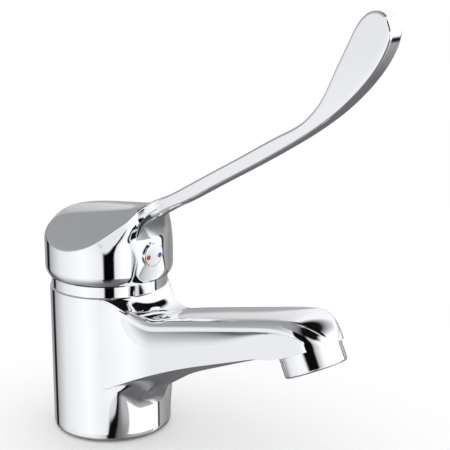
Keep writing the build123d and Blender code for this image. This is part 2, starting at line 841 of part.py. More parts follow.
# Button that closes the screw hole, with a recess for each colour mark
with BuildPart() as index_plug:
    with BuildSketch(flat_plane.offset(plug_proud)):
        Circle(plug_d * half)
    extrude(amount=-plug_t)
    fillet(index_plug.edges().filter_by(GeomType.CIRCLE).sort_by_distance(plug_front)[0], radius=plug_edge)
    with BuildSketch(flat_plane.offset(plug_proud - plug_t)):
        Circle(plug_tail_d * half)
    extrude(amount=-plug_tail_len)
    with BuildSketch(flat_plane.offset(plug_proud)):
        with Locations((mark_y, -mark_drop), (-mark_y, -mark_drop)):
            Circle(mark_d * half)
    extrude(amount=-mark_t, mode=Mode.SUBTRACT)
index_plug.part.label = "index_plug"

with BuildPart() as hot_mark:
    with BuildSketch(flat_plane.offset(plug_proud)):
        with Locations((-mark_y, -mark_drop)):
            Circle(mark_d * half)
    extrude(amount=-mark_t)
hot_mark.part.label = "hot_mark"

with BuildPart() as cold_mark:
    with BuildSketch(flat_plane.offset(plug_proud)):
        with Locations((mark_y, -mark_drop)):
            Circle(mark_d * half)
    extrude(amount=-mark_t)
cold_mark.part.label = "cold_mark"

# Sleeve that holds the aerator under the spout
with BuildPart() as aerator_shell:
    with BuildSketch(outlet_plane.offset(shell_gap)):
        Circle(shell_d * half)
    extrude(amount=shell_len - shell_gap)
    fillet(aerator_shell.edges().filter_by(GeomType.CIRCLE).sort_by_distance(shell_front)[0], radius=shell_edge)
    with BuildSketch(outlet_plane.offset(shell_gap)):
        Circle(nipple_d * half + shell_slack)
    extrude(amount=shell_len - shell_lip_t - shell_gap, mode=Mode.SUBTRACT)
    with BuildSketch(outlet_plane.offset(shell_gap)):
        Circle(shell_mouth_d * half)
    extrude(amount=shell_len, mode=Mode.SUBTRACT)
    with BuildSketch(outlet_plane.offset(shell_groove_at)):
        Circle(shell_d)
        Circle(shell_d * half - shell_groove_depth, mode=Mode.SUBTRACT)
    extrude(amount=shell_groove_w, mode=Mode.SUBTRACT)
aerator_shell.part.label = "aerator_shell"

with BuildPart() as aerator_washer:
    with BuildSketch(outlet_plane.offset(nipple_len)):
        Circle(insert_d * half)
        Circle(washer_in_d * half, mode=Mode.SUBTRACT)
    extrude(amount=washer_t)
aerator_washer.part.label = "aerator_washer"

# Insert with the outlet grid
with BuildPart() as aerator_insert:
    with BuildSketch(outlet_plane.offset(nipple_len + washer_t)):
        Circle(insert_d * half)
    extrude(amount=insert_rim_t)
    with BuildSketch(outlet_plane.offset(nipple_len + washer_t)):
        Circle(insert_tube_d * half)
    extrude(amount=-insert_depth)
    with BuildSketch(outlet_plane.offset(nipple_len + washer_t + insert_rim_t - grid_t)):
        Circle(insert_tube_d * half - insert_wall)
    extrude(amount=-insert_depth - insert_rim_t, mode=Mode.SUBTRACT)
    with BuildSketch(outlet_plane.offset(nipple_len + washer_t)):
        Circle(grid_hole_d * half)
        with PolarLocations(grid_pitch, 6):
            Circle(grid_hole_d * half)
        with PolarLocations(grid_pitch + grid_pitch, 12):
            Circle(grid_hole_d * half)
    extrude(amount=insert_rim_t, mode=Mode.SUBTRACT)
aerator_insert.part.label = "aerator_insert"

with BuildPart() as aerator_strainer:
    with BuildSketch(outlet_plane.offset(nipple_len + washer_t - insert_depth)):
        Circle(insert_tube_d * half)
        Circle(strainer_hole_d * half, mode=Mode.SUBTRACT)
        with PolarLocations(strainer_pitch, 6):
            Circle(strainer_hole_d * half, mode=Mode.SUBTRACT)
        with PolarLocations(strainer_pitch + strainer_pitch, 12):
            Circle(strainer_hole_d * half, mode=Mode.SUBTRACT)
    extrude(amount=-strainer_t)
aerator_strainer.part.label = "aerator_strainer"

export_step(body.part, "parts/body.step")
export_step(base_seal.part, "parts/base_seal.step")
export_step(cartridge_housing.part, "parts/cartridge_housing.step")
export_step(cartridge_base.part, "parts/cartridge_base.step")
export_step(hot_port_seal.part, "parts/hot_port_seal.step")
export_step(cold_port_seal.part, "parts/cold_port_seal.step")
export_step(outlet_port_seal.part, "parts/outlet_port_seal.step")
export_step(disc_gasket.part, "parts/disc_gasket.step")
export_step(fixed_disc.part, "parts/fixed_disc.step")
export_step(moving_disc.part, "parts/moving_disc.step")
export_step(disc_coupler.part, "parts/disc_coupler.step")
export_step(cartridge_rotor.part, "parts/cartridge_rotor.step")
export_step(stem_pin.part, "parts/stem_pin.step")
export_step(stem.part, "parts/stem.step")
export_step(clamp_nut.part, "parts/clamp_nut.step")
export_step(cover_ring.part, "parts/cover_ring.step")
export_step(lever.part, "parts/lever.step")
export_step(grub_screw.part, "parts/grub_screw.step")
export_step(index_plug.part, "parts/index_plug.step")
export_step(hot_mark.part, "parts/hot_mark.step")
export_step(cold_mark.part, "parts/cold_mark.step")
export_step(aerator_shell.part, "parts/aerator_shell.step")
export_step(aerator_washer.part, "parts/aerator_washer.step")
export_step(aerator_insert.part, "parts/aerator_insert.step")
export_step(aerator_strainer.part, "parts/aerator_strainer.step")
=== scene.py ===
import math

import bmesh
import bpy
import numpy as np
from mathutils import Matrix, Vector


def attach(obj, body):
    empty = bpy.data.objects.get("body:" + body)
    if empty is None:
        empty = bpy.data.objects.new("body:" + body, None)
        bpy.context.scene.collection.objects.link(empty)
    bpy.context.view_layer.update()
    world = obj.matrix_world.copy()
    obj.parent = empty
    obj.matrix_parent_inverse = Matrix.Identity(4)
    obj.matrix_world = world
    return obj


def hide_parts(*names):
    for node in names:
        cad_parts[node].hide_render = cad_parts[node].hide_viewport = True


# Elbow lever basin tap. Sizes are in millimetres and become metres as a corner is placed.
# +X runs along the spout and the lever, +Z is up, and Y = 0 is the plane the tap is symmetric about.

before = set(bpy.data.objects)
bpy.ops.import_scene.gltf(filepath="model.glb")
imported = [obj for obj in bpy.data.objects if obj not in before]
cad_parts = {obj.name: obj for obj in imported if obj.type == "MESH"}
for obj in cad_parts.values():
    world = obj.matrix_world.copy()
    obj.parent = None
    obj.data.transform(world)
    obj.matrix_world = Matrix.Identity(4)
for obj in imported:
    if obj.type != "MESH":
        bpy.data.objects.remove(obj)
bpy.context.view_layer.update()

MM = 0.001

# Skin: corners this close are welded, edges this short go, and edges this sharp stay sharp
WELD = 0.01
SLIVER = 0.005
SHARP = math.radians(33.0)
SIDE_CROWDING = 0.93

# Barrel
BARREL_R = 25.3
BARREL_TOP = 63.4
BARREL_FOOT = 0.4
FOOT_ROUND = 2.2
RIM_BREAK = 0.5
LEDGE_R = 22.0
LEDGE_Z = 56.4
CHAMBER_R = 20.1
CHAMBER_Z = 34.0
GROOVE_OUT_R = 22.5
GROOVE_IN_R = 19.9
GROOVE_Z = 1.8
RECESS_R = 19.0
RECESS_Z = 12.0
INLET_R = 5.0
INLET_AT = ((5.0, 9.5), (5.0, -9.5))
INLET_DEPTH = 10.0
STUD_R = 4.0
STUD_AT = (-11.5, 0.0)
STUD_DEPTH = 9.0

# Spout
SPOUT_R = 13.0
FLARE_R = 30.0
TILT = math.radians(25.0)
OUTLET = (109.7, 59.8)
NIPPLE_R = 11.0
NIPPLE_LEN = 4.6
NIPPLE_BORE_R = 8.5
NIPPLE_BORE_UP = 9.0
SLAB_ROUND = 3.2
SCOOP = 2.0
CROWN = 1.0
TIP_X = 121.75

# Lever cap, web, blade and paddle
CAP_R = 27.0
CAP_RIM = 68.7
CAP_RIM_R = 25.8
CAP_RIM_ROUND = 3.8
CAVITY_R = 24.8
CAVITY_Z = 80.5
PAD_X = 22.0
TOP_ROUND = 10.0
TOP_EDGE = 0.5
TOP_CROWN = 1.3
FACET_Y = 12.5
FACET_Z = 96.6
FACET_FALL = 0.949
FACET_NOD = 0.05
FACET_LEAVES = 31.0
FACET_LIFT = 0.9
FLAT_X = 26.5
FLAT_Z = 80.2
FLAT_TILT = math.radians(7.0)
FLAT_TOP = 86.7
BLADE = 3.5
BLADE_ROUND = 1.0
FOOT_ROOT_ROUND = 3.2
WEB_OFF = 26.75
WEB_FROM = 85.0
WEB_LEAN = 0.11
WEB_BLEND = 4.0
WEB_PATH = ((0, 20, 23, 28, 33, 38, 43, 66), (92.5, 91.5, 90.5, 89.2, 87.8, 86.0, 82.0, 80.0))


def natural(points, count=500):
    """A smooth curve through a few points, as many samples of it."""
    p = np.array(points, float)
    s = np.concatenate([[0], np.cumsum(np.linalg.norm(np.diff(p, axis=0), axis=1))])
    n = len(p)
    h = np.diff(s)
    a = np.eye(n)
    b = np.zeros_like(p)
    for i in range(1, n - 1):
        a[i, i - 1:i + 2] = h[i - 1], 2 * (h[i - 1] + h[i]), h[i]
        b[i] = 6 * ((p[i + 1] - p[i]) / h[i] - (p[i] - p[i - 1]) / h[i - 1])
    m = np.linalg.solve(a, b)
    t = np.linspace(0, s[-1], count)
    i = np.clip(np.searchsorted(s, t, side="right") - 1, 0, n - 2)
    u, v, w = (t - s[i])[:, None], (s[i + 1] - t)[:, None], h[i][:, None]
    bent = (m[i] * v ** 3 + m[i + 1] * u ** 3) / (6 * w)
    return bent + (p[i] / w - m[i] * w / 6) * v + (p[i + 1] / w - m[i + 1] * w / 6) * u


def height_line(points):
    """The height at x, on a smooth curve through (x, z) points."""
    line = natural(points)
    return lambda x: float(np.interp(x, line[:, 0], line[:, 1]))


def ease(x, start, end):
    t = min(1.0, max(0.0, (x - start) / (end - start)))
    return t * t * (3 - 2 * t)


def mix(a, b, t):
    return a + (b - a) * t


def soft_min(a, b, k):
    h = max(k - abs(a - b), 0.0) / k
    return min(a, b) - h * h * k / 4


class Skin:
    """A mesh that grows ring by ring, by extruding its last loop of edges."""

    def __init__(self):
        self.bm = bmesh.new()
        self.tag = self.bm.verts.layers.int.new("place")

    def start(self, count):
        made = bmesh.ops.create_circle(self.bm, cap_ends=False, segments=count, radius=1.0)["verts"]
        for i, v in enumerate(sorted(made, key=lambda v: math.atan2(v.co.y, v.co.x) % math.tau)):
            v[self.tag] = i
        return list({e for v in made for e in v.link_edges})

    def place(self, edges, where):
        """Sets each corner of a loop to where(its number)."""
        for v in {v for e in edges for v in e.verts}:
            v.co = Vector(where(v[self.tag])) * MM
        return edges

    def grow(self, edges, where):
        """Extrudes a loop and sets its new corners."""
        made = bmesh.ops.extrude_edge_only(self.bm, edges=edges)["geom"]
        fresh = {g for g in made if isinstance(g, bmesh.types.BMVert)}
        grown = [g for g in made if isinstance(g, bmesh.types.BMEdge) and set(g.verts) <= fresh]
        return self.place(grown, where)

    def apart(self, edges, where):
        """How far each corner of a loop lies from where(its number), by number."""
        verts = {v for e in edges for v in e.verts}
        return {v[self.tag]: v.co / MM - Vector(where(v[self.tag])) for v in verts}

    def close(self, edges):
        """Draws a loop together into its middle point."""
        verts = {v for e in edges for v in e.verts}
        middle = sum((v.co for v in verts), Vector()) / len(verts) / MM
        self.grow(edges, lambda i: middle)

    def open_window(self, faces, columns):
        """Takes out a block of faces and numbers its rim once round: along the foot, up the far
        side, back over the top, and down the near side. Gives the rim's edges."""
        bm, tag = self.bm, self.tag
        edges = {e for f in faces for e in f.edges}
        rim = [e for e in edges if not all(g in faces for g in e.link_faces)]
        rows = {}
        for v in {v for e in rim for v in e.verts}:
            rows.setdefault(v[tag], []).append(v)
        first, last = min(rows), max(rows)
        side = len(rows[first]) - 1
        for column, found in rows.items():
            found.sort(key=lambda v: v.co.z)
            for j, v in enumerate(found):
                if column == last:
                    v[tag] = columns + j
                elif column == first:
                    v[tag] = (-j) % (2 * (columns + side))
                elif j == 0:
                    v[tag] = column - first
                else:
                    v[tag] = 2 * columns + side - (column - first)
        bmesh.ops.delete(bm, geom=list(faces), context="FACES")
        return [e for e in rim if e.is_valid]

    def finish(self, name, body, replaced):
        """Makes the skin a piece, in place of the nodes it replaces."""
        bm = self.bm
        bmesh.ops.remove_doubles(bm, verts=bm.verts, dist=WELD * MM)
        bmesh.ops.dissolve_degenerate(bm, edges=bm.edges, dist=SLIVER * MM)
        bmesh.ops.recalc_face_normals(bm, faces=bm.faces)
        for f in bm.faces:
            f.smooth = True
        for e in bm.edges:
            e.smooth = not (e.is_manifold and e.calc_face_angle(0.0) > SHARP)
        mesh = bpy.data.meshes.new(name)
        bm.to_mesh(mesh)
        bm.free()
        mesh.attributes.remove(mesh.attributes["place"])
        obj = bpy.data.objects.new(name, mesh)
        bpy.context.scene.collection.objects.link(obj)
        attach(obj, body)
        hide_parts(*replaced)
        return obj


def across(k, columns):
    """The k-th place across a ring, from -1 to 1, closer together at the sides."""
    return math.sin((2 * k / columns - 1) * math.asin(SIDE_CROWDING)) / SIDE_CROWDING


def ring_place(i, columns, side):
    """Where a ring's corner lies: (part, place across, step up the side)."""
    if i <= columns:
        return "foot", across(i, columns), 0
    if i < columns + side:
        return "side", 1.0, i - columns
    if i <= 2 * columns + side:
        return "top", across(2 * columns + side - i, columns), side
    return "side", -1.0, 2 * (columns + side) - i


def corner(turn, size):
    """(inset, drop) on a rounded edge: turn 0 at its side, 1 at its top."""
    a = turn * math.pi / 2
    return size * (1 - math.cos(a)), size * (1 - math.sin(a))


# Body: the barrel is laid row by row, and the spout grows out of a window in its front.
# Shares run up the side panel from its foot to its top edge. A pair of x values is where a form
# comes or goes along the spout.
FRONT = 44
BACK = 120
SIDE_SHARES = (
    0, 0.01, 0.03, 0.07, 0.13, 0.20, 0.27, 0.34, 0.41, 0.48, 0.55, 0.61, 0.66, 0.70, 0.735, 0.76,
    0.78, 0.79, 0.80, 0.815, 0.84, 0.867, 0.893, 0.92, 0.947, 0.973, 1.0,
)
SIDE = len(SIDE_SHARES) - 1
HOLLOW_SHARE = 0.42
HOLLOW_SHARE_AT_NOSE = 0.72
HOLLOW_SHRINKS_X = (70, 102)
HOLLOW_BLEND_SHARE = 0.35
LEAST_BLEND = 0.001
CREASE_SHARE = 0.79
ROUND_SHARE = 0.84
EDGE_ACROSS = 0.90
ROUND_OF_HEIGHT = 0.4
ROUND_OF_NOSE = 0.8
ROOT_WRAP_X = (24, 44)
ROOT_FLAT_ACROSS = (0.3, 1.0)
ROOT_FLAT_X = (26, 46)
CROWN_X = (30, 50)
RIDGE_OUT = 1.5
RIDGE_SPREAD = (22, 38)
RIDGE_BLEND = 1.0
RIDGE_HEIGHTS = (2, 24)
OUTLET_DIP = 1.3
OUTLET_DIP_X = (90, 100)

FOOT_STEPS = 7
BARREL_ROWS = 14
HOLE_SIDES = 48
ROOT_RINGS = 40
ROOT_CROWDING = 1.6
ROOT_PAST_FLARE = 3
ARM_RINGS = 26
NOSE_FROM_X = 96.0
NOSE_RINGS = 44
ROOT_SETTLES = 0.4
CUT_FROM_X = 90
CUT_SNAP = 1e-7

flare_x = math.sqrt((BARREL_R + FLARE_R) ** 2 - (SPOUT_R + FLARE_R) ** 2)
flare_angle = math.atan2(SPOUT_R + FLARE_R, flare_x)
flare_start = BARREL_R * math.cos(flare_angle)
spout_up = Vector((-math.sin(TILT), 0, math.cos(TILT)))
spout_along = Vector((math.cos(TILT), 0, math.sin(TILT)))
outlet = Vector((OUTLET[0], 0, OUTLET[1]))

spout_top = height_line([
    (25.3, 63.4), (25.8, 61.8), (27.2, 59.6), (30.5, 57.7), (35, 57.0), (41, 57.9), (52, 60.4),
    (66, 63.6), (80, 66.7), (92, 69.4), (101, 71.2), (107, 71.9), (112, 71.4), (116.2, 69.6),
    (119.4, 67.3), (122.2, 64.3),
])
spout_edge = height_line([
    (15, 23.4), (30, 30.5), (42.5, 36.0), (54, 40.7), (75, 48.3), (95, 55.4), (112, 61.4),
])
spout_foot = height_line([
    (25.3, 15.0), (25.7, 17.0), (27.0, 19.5), (29.8, 22.3), (35, 25.9), (40, 29.0), (46, 32.8),
    (54, 36.9), (65, 41.6), (76, 46.2), (86, 50.3), (94, 53.2), (98.5, 54.6), (112, 58.5),
])


def half_width(x):
    """Half the width of the barrel and spout in plan, at x."""
    if x <= flare_start:
        return math.sqrt(max(0.0, BARREL_R ** 2 - x * x))
    if x < flare_x:
        return SPOUT_R + FLARE_R - math.sqrt(FLARE_R ** 2 - (x - flare_x) ** 2)
    return SPOUT_R


def barrel_angle(i):
    """Direction of a barrel column. The first FRONT + 1 columns face the spout."""
    if i <= FRONT:
        return math.asin(across(i, FRONT) * math.sin(flare_angle))
    return flare_angle + (math.tau - 2 * flare_angle) * (i - FRONT) / BACK


def barrel_point(i, z, radius):
    angle = barrel_angle(i)
    return radius * math.cos(angle), radius * math.sin(angle), z


def swell(i, z):
    """How far the side panel's edge stands out below the spout: a ridge that fades down the barrel."""
    if not 0 < i < FRONT:
        return 0.0
    turn = abs(barrel_angle(i))
    reach = flare_x * math.cos(turn) + (SPOUT_R + FLARE_R) * math.sin(turn)
    beside = reach ** 2 - flare_x ** 2 - (SPOUT_R + FLARE_R) ** 2 + FLARE_R ** 2
    flare = reach - math.sqrt(max(0.0, beside)) - BARREL_R
    ridge = RIDGE_OUT * ease(math.degrees(turn), *RIDGE_SPREAD)
    return max(0.0, soft_min(flare, ridge, RIDGE_BLEND)) * ease(z, *RIDGE_HEIGHTS)


def root_reach(x, y):
    """How far along the spout a place counts as: round the barrel at the root, and x further out."""
    return max(mix(math.hypot(x, y), x, ease(x, *ROOT_WRAP_X)), BARREL_R)


def under_height(x, a, y):
    """Height of the arched underside at (x, y), a place a across."""
    share = mix(ease(abs(a), *ROOT_FLAT_ACROSS), a * a, ease(x, *ROOT_FLAT_X))
    dip = OUTLET_DIP * a * a * ease(x, *OUTLET_DIP_X)
    return mix(spout_foot(root_reach(x, y)), spout_edge(x), share) - dip


def root_height(i):
    """Where the underside meets the barrel, at a column."""
    if i > FRONT:
        return spout_edge(flare_start)
    x, y, _ = barrel_point(i, 0, BARREL_R)
    return under_height(x, across(i, FRONT), y)


def top_height(x, y):
    """Height of the spout's crowned top."""
    side = min(1.0, abs(y) / SPOUT_R)
    return spout_top(root_reach(x, y)) + CROWN * ease(x, *CROWN_X) * (1 - side * side)


def nose_width(x, z):
    """Half the width of the round nose, seen from the side, and more than enough behind it."""
    w = (Vector((x, 0, z)) - outlet).dot(spout_along)
    return math.sqrt(max(0.0, SPOUT_R ** 2 - w * w)) if w > 0 else BARREL_R


def spout_ring(x_side, blend):
    """A ring of the spout: bowed round the barrel at blend 0, flat across the spout at blend 1."""
    grown = ease(blend, 0, 1)
    scoop = SCOOP * grown
    hollow_share = mix(HOLLOW_SHARE, HOLLOW_SHARE_AT_NOSE, ease(x_side, *HOLLOW_SHRINKS_X))
    width = half_width(x_side)
    tall = max(0.0, spout_top(max(x_side, BARREL_R)) - spout_edge(x_side))
    nose = nose_width(x_side, spout_top(x_side))
    size = min(SLAB_ROUND * grown, ROUND_OF_HEIGHT * tall, ROUND_OF_NOSE * nose)

    def bow(a):
        return (1 - blend) * (BARREL_R * math.sqrt(1 - (a * math.sin(flare_angle)) ** 2) - flare_start)

    def side_point(x, a, share):
        foot = where(FRONT)[2] if a > 0 else where(0)[2]
        high = top_height(x, width)
        if share <= ROUND_SHARE:
            z = mix(foot, high - size, share / ROUND_SHARE)
            rise = max(0.0, (share - hollow_share) / (CREASE_SHARE - hollow_share))
            hollow = scoop * max(0.0, 1 - rise * rise)
            blend_size = HOLLOW_BLEND_SHARE * hollow + LEAST_BLEND
            return x, a * soft_min(width - hollow, nose_width(x, z), blend_size), z
        inset, drop = corner(0.5 * (share - ROUND_SHARE) / (1 - ROUND_SHARE), size)
        z = high - drop
        return x, a * max(0.0, min(width, nose_width(x, z)) - inset), z

    def where(i):
        part, a, j = ring_place(i, FRONT, SIDE)
        if part == "side":
            return side_point(x_side, a, SIDE_SHARES[j])
        x = x_side + bow(a)
        if part == "foot":
            z = under_height(x, a, a * width)
            return x, a * min(width - scoop, nose_width(x, z)), z
        edge = top_height(x, width)
        rim = min(width, nose_width(x, edge))
        if abs(a) > EDGE_ACROSS:
            inset, drop = corner(1 - 0.5 * (abs(a) - EDGE_ACROSS) / (1 - EDGE_ACROSS), size)
            y = max(0.0, rim - inset)
        else:
            y, drop = max(0.0, rim - size) * abs(a) / EDGE_ACROSS, 0.0
        lift = (top_height(x, y) - edge) * min(1.0, rim / SPOUT_R)
        return x, math.copysign(y, a), edge + lift - drop
    return where


def spout_rings():
    """The rings from the barrel to the tip of the nose, each with its blend."""
    end = flare_x + ROOT_PAST_FLARE
    shares = [(k / ROOT_RINGS) ** ROOT_CROWDING for k in range(1, ROOT_RINGS + 1)]
    places = [(mix(flare_start, end, share), share) for share in shares]
    places += [(mix(end, NOSE_FROM_X, k / ARM_RINGS), 1.0) for k in range(1, ARM_RINGS + 1)]
    turns = [k / NOSE_RINGS * math.pi / 2 for k in range(1, NOSE_RINGS + 1)]
    places += [(mix(NOSE_FROM_X, TIP_X, math.sin(turn)), 1.0) for turn in turns]
    return [(spout_ring(x, blend), blend) for x, blend in places]


def draw_face(bm, face):
    """Extrudes a face and gives the new one, with the old one gone."""
    made = bmesh.ops.extrude_face_region(bm, geom=[face])["geom"]
    drawn = next(g for g in made if isinstance(g, bmesh.types.BMFace))
    if face.is_valid:
        bmesh.ops.delete(bm, geom=[face], context="FACES_ONLY")
    return drawn


def cut_outlet(skin):
    """Cuts the nose off at the outlet's plane, and draws the nipple and its bore out of the cut."""
    bm = skin.bm
    near = [f for f in bm.faces if f.calc_center_median().x > CUT_FROM_X * MM]
    near += [v for f in near for v in f.verts] + [e for f in near for e in f.edges]
    bmesh.ops.bisect_plane(bm, geom=list(set(near)), plane_co=outlet * MM, plane_no=-spout_up,
                           clear_outer=True, dist=CUT_SNAP)
    # Only the cut's own edges: the ends that close() drew together are open too until they are welded.
    cut = [e for e in bm.edges if e.is_boundary and all(v.co.x > CUT_FROM_X * MM for v in e.verts)]
    face = bmesh.ops.contextual_create(bm, geom=cut)["faces"][0]
    for h, radius in ((0.0, NIPPLE_R), (-NIPPLE_LEN, NIPPLE_R), (-NIPPLE_LEN, NIPPLE_BORE_R),
                      (NIPPLE_BORE_UP, NIPPLE_BORE_R)):
        face = draw_face(bm, face)
        for v in face.verts:
            p = v.co / MM - outlet
            w = math.atan2(p.y, p.dot(spout_along))
            round_the_axis = spout_along * math.cos(w) + Vector((0, math.sin(w), 0))
            v.co = (outlet + round_the_axis * radius + spout_up * h) * MM


def build_foot(skin, rows):
    """Under the barrel: the seal groove, the recess, and three holes in the recess's roof."""
    for z, radius in ((BARREL_FOOT, GROOVE_OUT_R), (GROOVE_Z, GROOVE_OUT_R), (GROOVE_Z, GROOVE_IN_R),
                      (BARREL_FOOT, GROOVE_IN_R), (BARREL_FOOT, RECESS_R), (RECESS_Z, RECESS_R)):
        rows = skin.grow(rows, lambda i: barrel_point(i, z, radius))
    roof = list(rows)
    holes = [(at, INLET_R, INLET_DEPTH) for at in INLET_AT] + [(STUD_AT, STUD_R, STUD_DEPTH)]
    for (x, y), radius, depth in holes:
        def hole(z):
            def where(i):
                turn = math.tau * i / HOLE_SIDES
                return x + radius * math.cos(turn), y + radius * math.sin(turn), z
            return where
        mouth = skin.place(skin.start(HOLE_SIDES), hole(RECESS_Z))
        roof += mouth
        skin.close(skin.grow(mouth, hole(RECESS_Z + depth)))
    bmesh.ops.triangle_fill(skin.bm, use_beauty=True, edges=roof)


def build_body():
    skin = Skin()
    count = FRONT + BACK
    foot = skin.place(skin.start(count), lambda i: barrel_point(i, BARREL_FOOT, BARREL_R - FOOT_ROUND))
    rows = foot
    for k in range(1, FOOT_STEPS + 1):
        inset, drop = corner(1 - k / FOOT_STEPS, FOOT_ROUND)
        rows = skin.grow(rows, lambda i: barrel_point(i, BARREL_FOOT + drop, BARREL_R - inset))
    low = BARREL_FOOT + FOOT_ROUND
    for k in range(1, BARREL_ROWS + 1):
        def ridged(i):
            z = mix(low, root_height(i), k / BARREL_ROWS)
            return barrel_point(i, z, BARREL_R + swell(i, z))
        rows = skin.grow(rows, ridged)
    high = BARREL_TOP - RIM_BREAK
    window = set()
    for share in SIDE_SHARES[1:]:
        before = set(skin.bm.faces)
        rows = skin.grow(rows, lambda i: barrel_point(i, mix(root_height(i), high, share), BARREL_R))
        fresh = set(skin.bm.faces) - before
        window |= {f for f in fresh if all(v[skin.tag] <= FRONT for v in f.verts)}
    for z, radius in ((BARREL_TOP, BARREL_R - RIM_BREAK), (BARREL_TOP, LEDGE_R), (LEDGE_Z, LEDGE_R),
                      (LEDGE_Z, CHAMBER_R), (CHAMBER_Z, CHAMBER_R)):
        rows = skin.grow(rows, lambda i: barrel_point(i, z, radius))
    skin.close(rows)
    build_foot(skin, foot)
    rim = skin.open_window(window, FRONT)
    apart = skin.apart(rim, spout_ring(flare_start, 0.0))
    for ring, share in spout_rings():
        left = 1 - ease(share, 0, ROOT_SETTLES)
        rim = skin.grow(rim, lambda i: Vector(ring(i)) + apart[i] * left)
    skin.close(rim)
    cut_outlet(skin)
    return skin.finish("tap_body", "tap", ["body"])


# Lever: the cap is laid row by row, and the blade grows out of a window in its front.
# A pair of x or z values, or of turns in degrees, is where a form comes or goes.
FLAT_COLUMNS = 28
WEB_COLUMNS = 30
CAP_FRONT = FLAT_COLUMNS + 2 * WEB_COLUMNS
CAP_BACK = 130
CAP_SPREAD = math.radians(66)
FLAT_SPREAD = math.radians(17)
WEB_CROWDING = 1.15
WEB_MIDDLE = math.pi / 4
WEB_EDGE_BLEND = 0.8
WEB_MEETS_FLAT = 0.3
WEB_STARTS = 0.15
FLAT_EDGE = (0.8, 4.0)
FLAT_EDGE_Z = (79, 89)
STRIP_TURNS = (-20, 20)
CROWN_LIMIT = 1.5
CROWN_FADES_X = (20, 32)
CREASE_BLEND = 0.8
SILL_SHARE = 0.6
SILL_SPREAD = 6
EDGE_SHARE = 0.16
BLADE_SHARES = (
    0, 0.027, 0.053, 0.08, 0.107, 0.133, 0.16, 0.25, 0.34, 0.43, 0.52, 0.61, 0.70, 0.78, 0.84,
    0.88, 0.92, 0.96, 1.0,
)
BLADE_SIDE = len(BLADE_SHARES) - 1
BLADE_BLEND = 3.0
ROUND_OF_BLADE = 0.42
TOP_ROOT_ROUND = 0.3
TOP_ROUND_X = (30, 44)
FOOT_ROUND_X = (28, 52)
FACET_ENDS_X = 42

RIM_STEPS = 8
WALL_ROWS = 14
TOP_ROUND_STEPS = 30
TOP_STEPS = 24
EDGE_GUESS = 90.0
EDGE_STEP = 0.7
EDGE_TRIES = 12
BLADE_RINGS = 130
BLADE_SETTLES = 14
LEAST_WIDTH = 1e-9

crest = height_line([
    (-30, 93.0), (-10, 96.2), (7.3, 98.3), (14.8, 99.3), (21.2, 100.3), (24.7, 101.1),
    (27.4, 102.0), (30, 103.1), (35, 105.3), (46.3, 111.0),
])
BLADE_TOP = [
    (27.4, 102.0), (30, 103.1), (35, 105.3), (46.3, 111.0), (60, 118.4), (78, 128.0),
    (97, 138.2), (106.3, 143.3), (110.8, 147.2), (115, 152.3), (119, 159.6), (123, 167.2),
    (127, 174.6), (129.3, 178.6), (132, 181.6), (135.2, 183.4), (138.8, 183.3), (141.4, 181.7),
]
BLADE_FOOT = [
    (27.3, 86.7), (28.3, 90.6), (31.7, 95.8), (45.5, 104.3), (61, 112.6), (79, 122.2),
    (98.5, 133.0), (109.5, 139.6), (115.1, 143.3), (120, 146.8), (125.3, 151.1), (130.2, 155.6),
    (134.8, 160.5), (138.2, 164.8), (140.8, 169), (142.7, 173.2), (143.3, 177.4), (141.6, 181.6),
]


def web_line(z):
    """Distance from the axis of the web's flat side, which faces half forwards and leans in."""
    return WEB_OFF - WEB_LEAN * (z - WEB_FROM)


def web_width(x, z):
    """Half the width of the web and blade in plan, at x."""
    return -soft_min(x - math.sqrt(2) * web_line(z), -BLADE, BLADE_BLEND)


def web_height(turn):
    """Height at which the round wall turns into the web's leaning flat."""
    return float(np.interp(math.degrees(turn), WEB_PATH[0], WEB_PATH[1]))


def flat_x(z):
    """Where the front flat lies at a height: it leans out up to its top, and is upright above."""
    return FLAT_X + (min(z, FLAT_TOP) - FLAT_Z) * math.tan(FLAT_TILT)


def cap_angle(i):
    """Direction of a column: close together over the flat, and even behind."""
    if i > CAP_FRONT:
        return CAP_SPREAD + (math.tau - 2 * CAP_SPREAD) * (i - CAP_FRONT) / CAP_BACK
    j = i - CAP_FRONT / 2
    if abs(j) <= FLAT_COLUMNS / 2:
        return FLAT_SPREAD * across(j + FLAT_COLUMNS / 2, FLAT_COLUMNS)
    share = (abs(j) - FLAT_COLUMNS / 2) / WEB_COLUMNS
    return math.copysign(mix(FLAT_SPREAD, CAP_SPREAD, share ** WEB_CROWDING), j)


def in_front(i):
    """Whether a column lies inside the blade's window."""
    return WEB_COLUMNS < i < CAP_FRONT - WEB_COLUMNS


def cap_point(i, z, radius):
    """A corner of the cap's outline: round, with the web's flats and the front flat growing in."""
    angle = cap_angle(i)
    turn = abs((angle + math.pi) % math.tau - math.pi)
    if turn < CAP_SPREAD:
        line = web_line(z) / math.cos(turn - WEB_MIDDLE)
        web = soft_min(radius, line, WEB_EDGE_BLEND)
        web = mix(web, line, ease(WEB_MIDDLE - turn, 0, WEB_MEETS_FLAT))
        path = web_height(turn)
        share = ease(z, path - WEB_BLEND, path + WEB_BLEND) * ease(CAP_SPREAD - turn, 0, WEB_STARTS)
        edge = mix(*FLAT_EDGE, ease(z, *FLAT_EDGE_Z))
        radius = soft_min(mix(radius, web, share), flat_x(z) / math.cos(turn), edge)
    return radius * math.cos(angle), radius * math.sin(angle)


def facet(x, y):
    """Height of the sloping facet beside the cap's strip."""
    lift = FACET_LIFT * max(0.0, x - FACET_LEAVES)
    return FACET_Z - FACET_FALL * (abs(y) - FACET_Y) - FACET_NOD * x + lift


